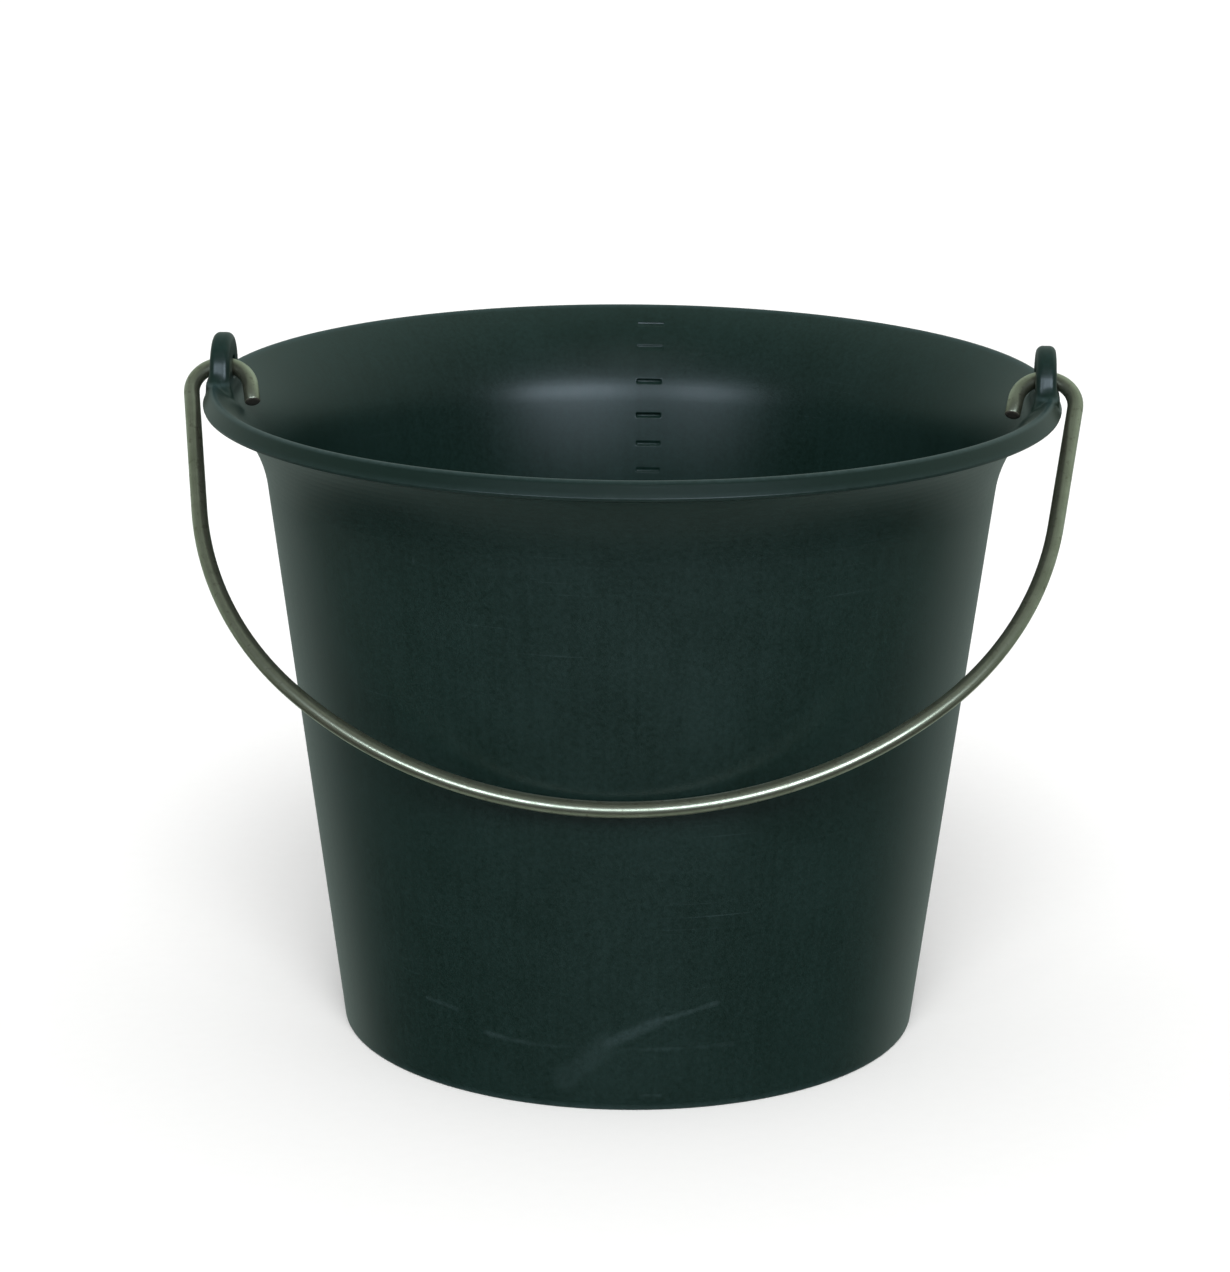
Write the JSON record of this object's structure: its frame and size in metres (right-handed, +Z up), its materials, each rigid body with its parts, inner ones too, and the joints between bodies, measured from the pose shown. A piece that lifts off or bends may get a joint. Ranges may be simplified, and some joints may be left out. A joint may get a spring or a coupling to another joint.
{
  "type": "bucket",
  "caption": "Round tapered plastic bucket with a flared rim, lugs moulded on the rim and a steel wire bail that swings over the mouth for carrying.",
  "frame": {"origin": "middle of the foot, on the ground", "axes": "+X along the bail's pivot axis from lug to lug, -Y to the side where the bail rests, +Z up"},
  "size_m": [0.3396, 0.324, 0.2672],
  "materials": {
    "black_polyethylene": "satin moulded polyethylene, dark green-black, lightly scuffed",
    "zinc_plated_steel_wire": "drawn steel wire with a dull olive-grey zinc plating"
  },
  "bodies": {
    "bucket": {"bucket_body": "black_polyethylene"},
    "bail": {"wire_bail": "zinc_plated_steel_wire"}
  },
  "joints": [
    {"name": "bail_swing", "type": "hinge", "parent": "bucket", "child": "bail", "pos_m": [0, 0, 0.2542], "axis": [-1, 0, 0], "range_deg": [0, 270.77]}
  ]
}
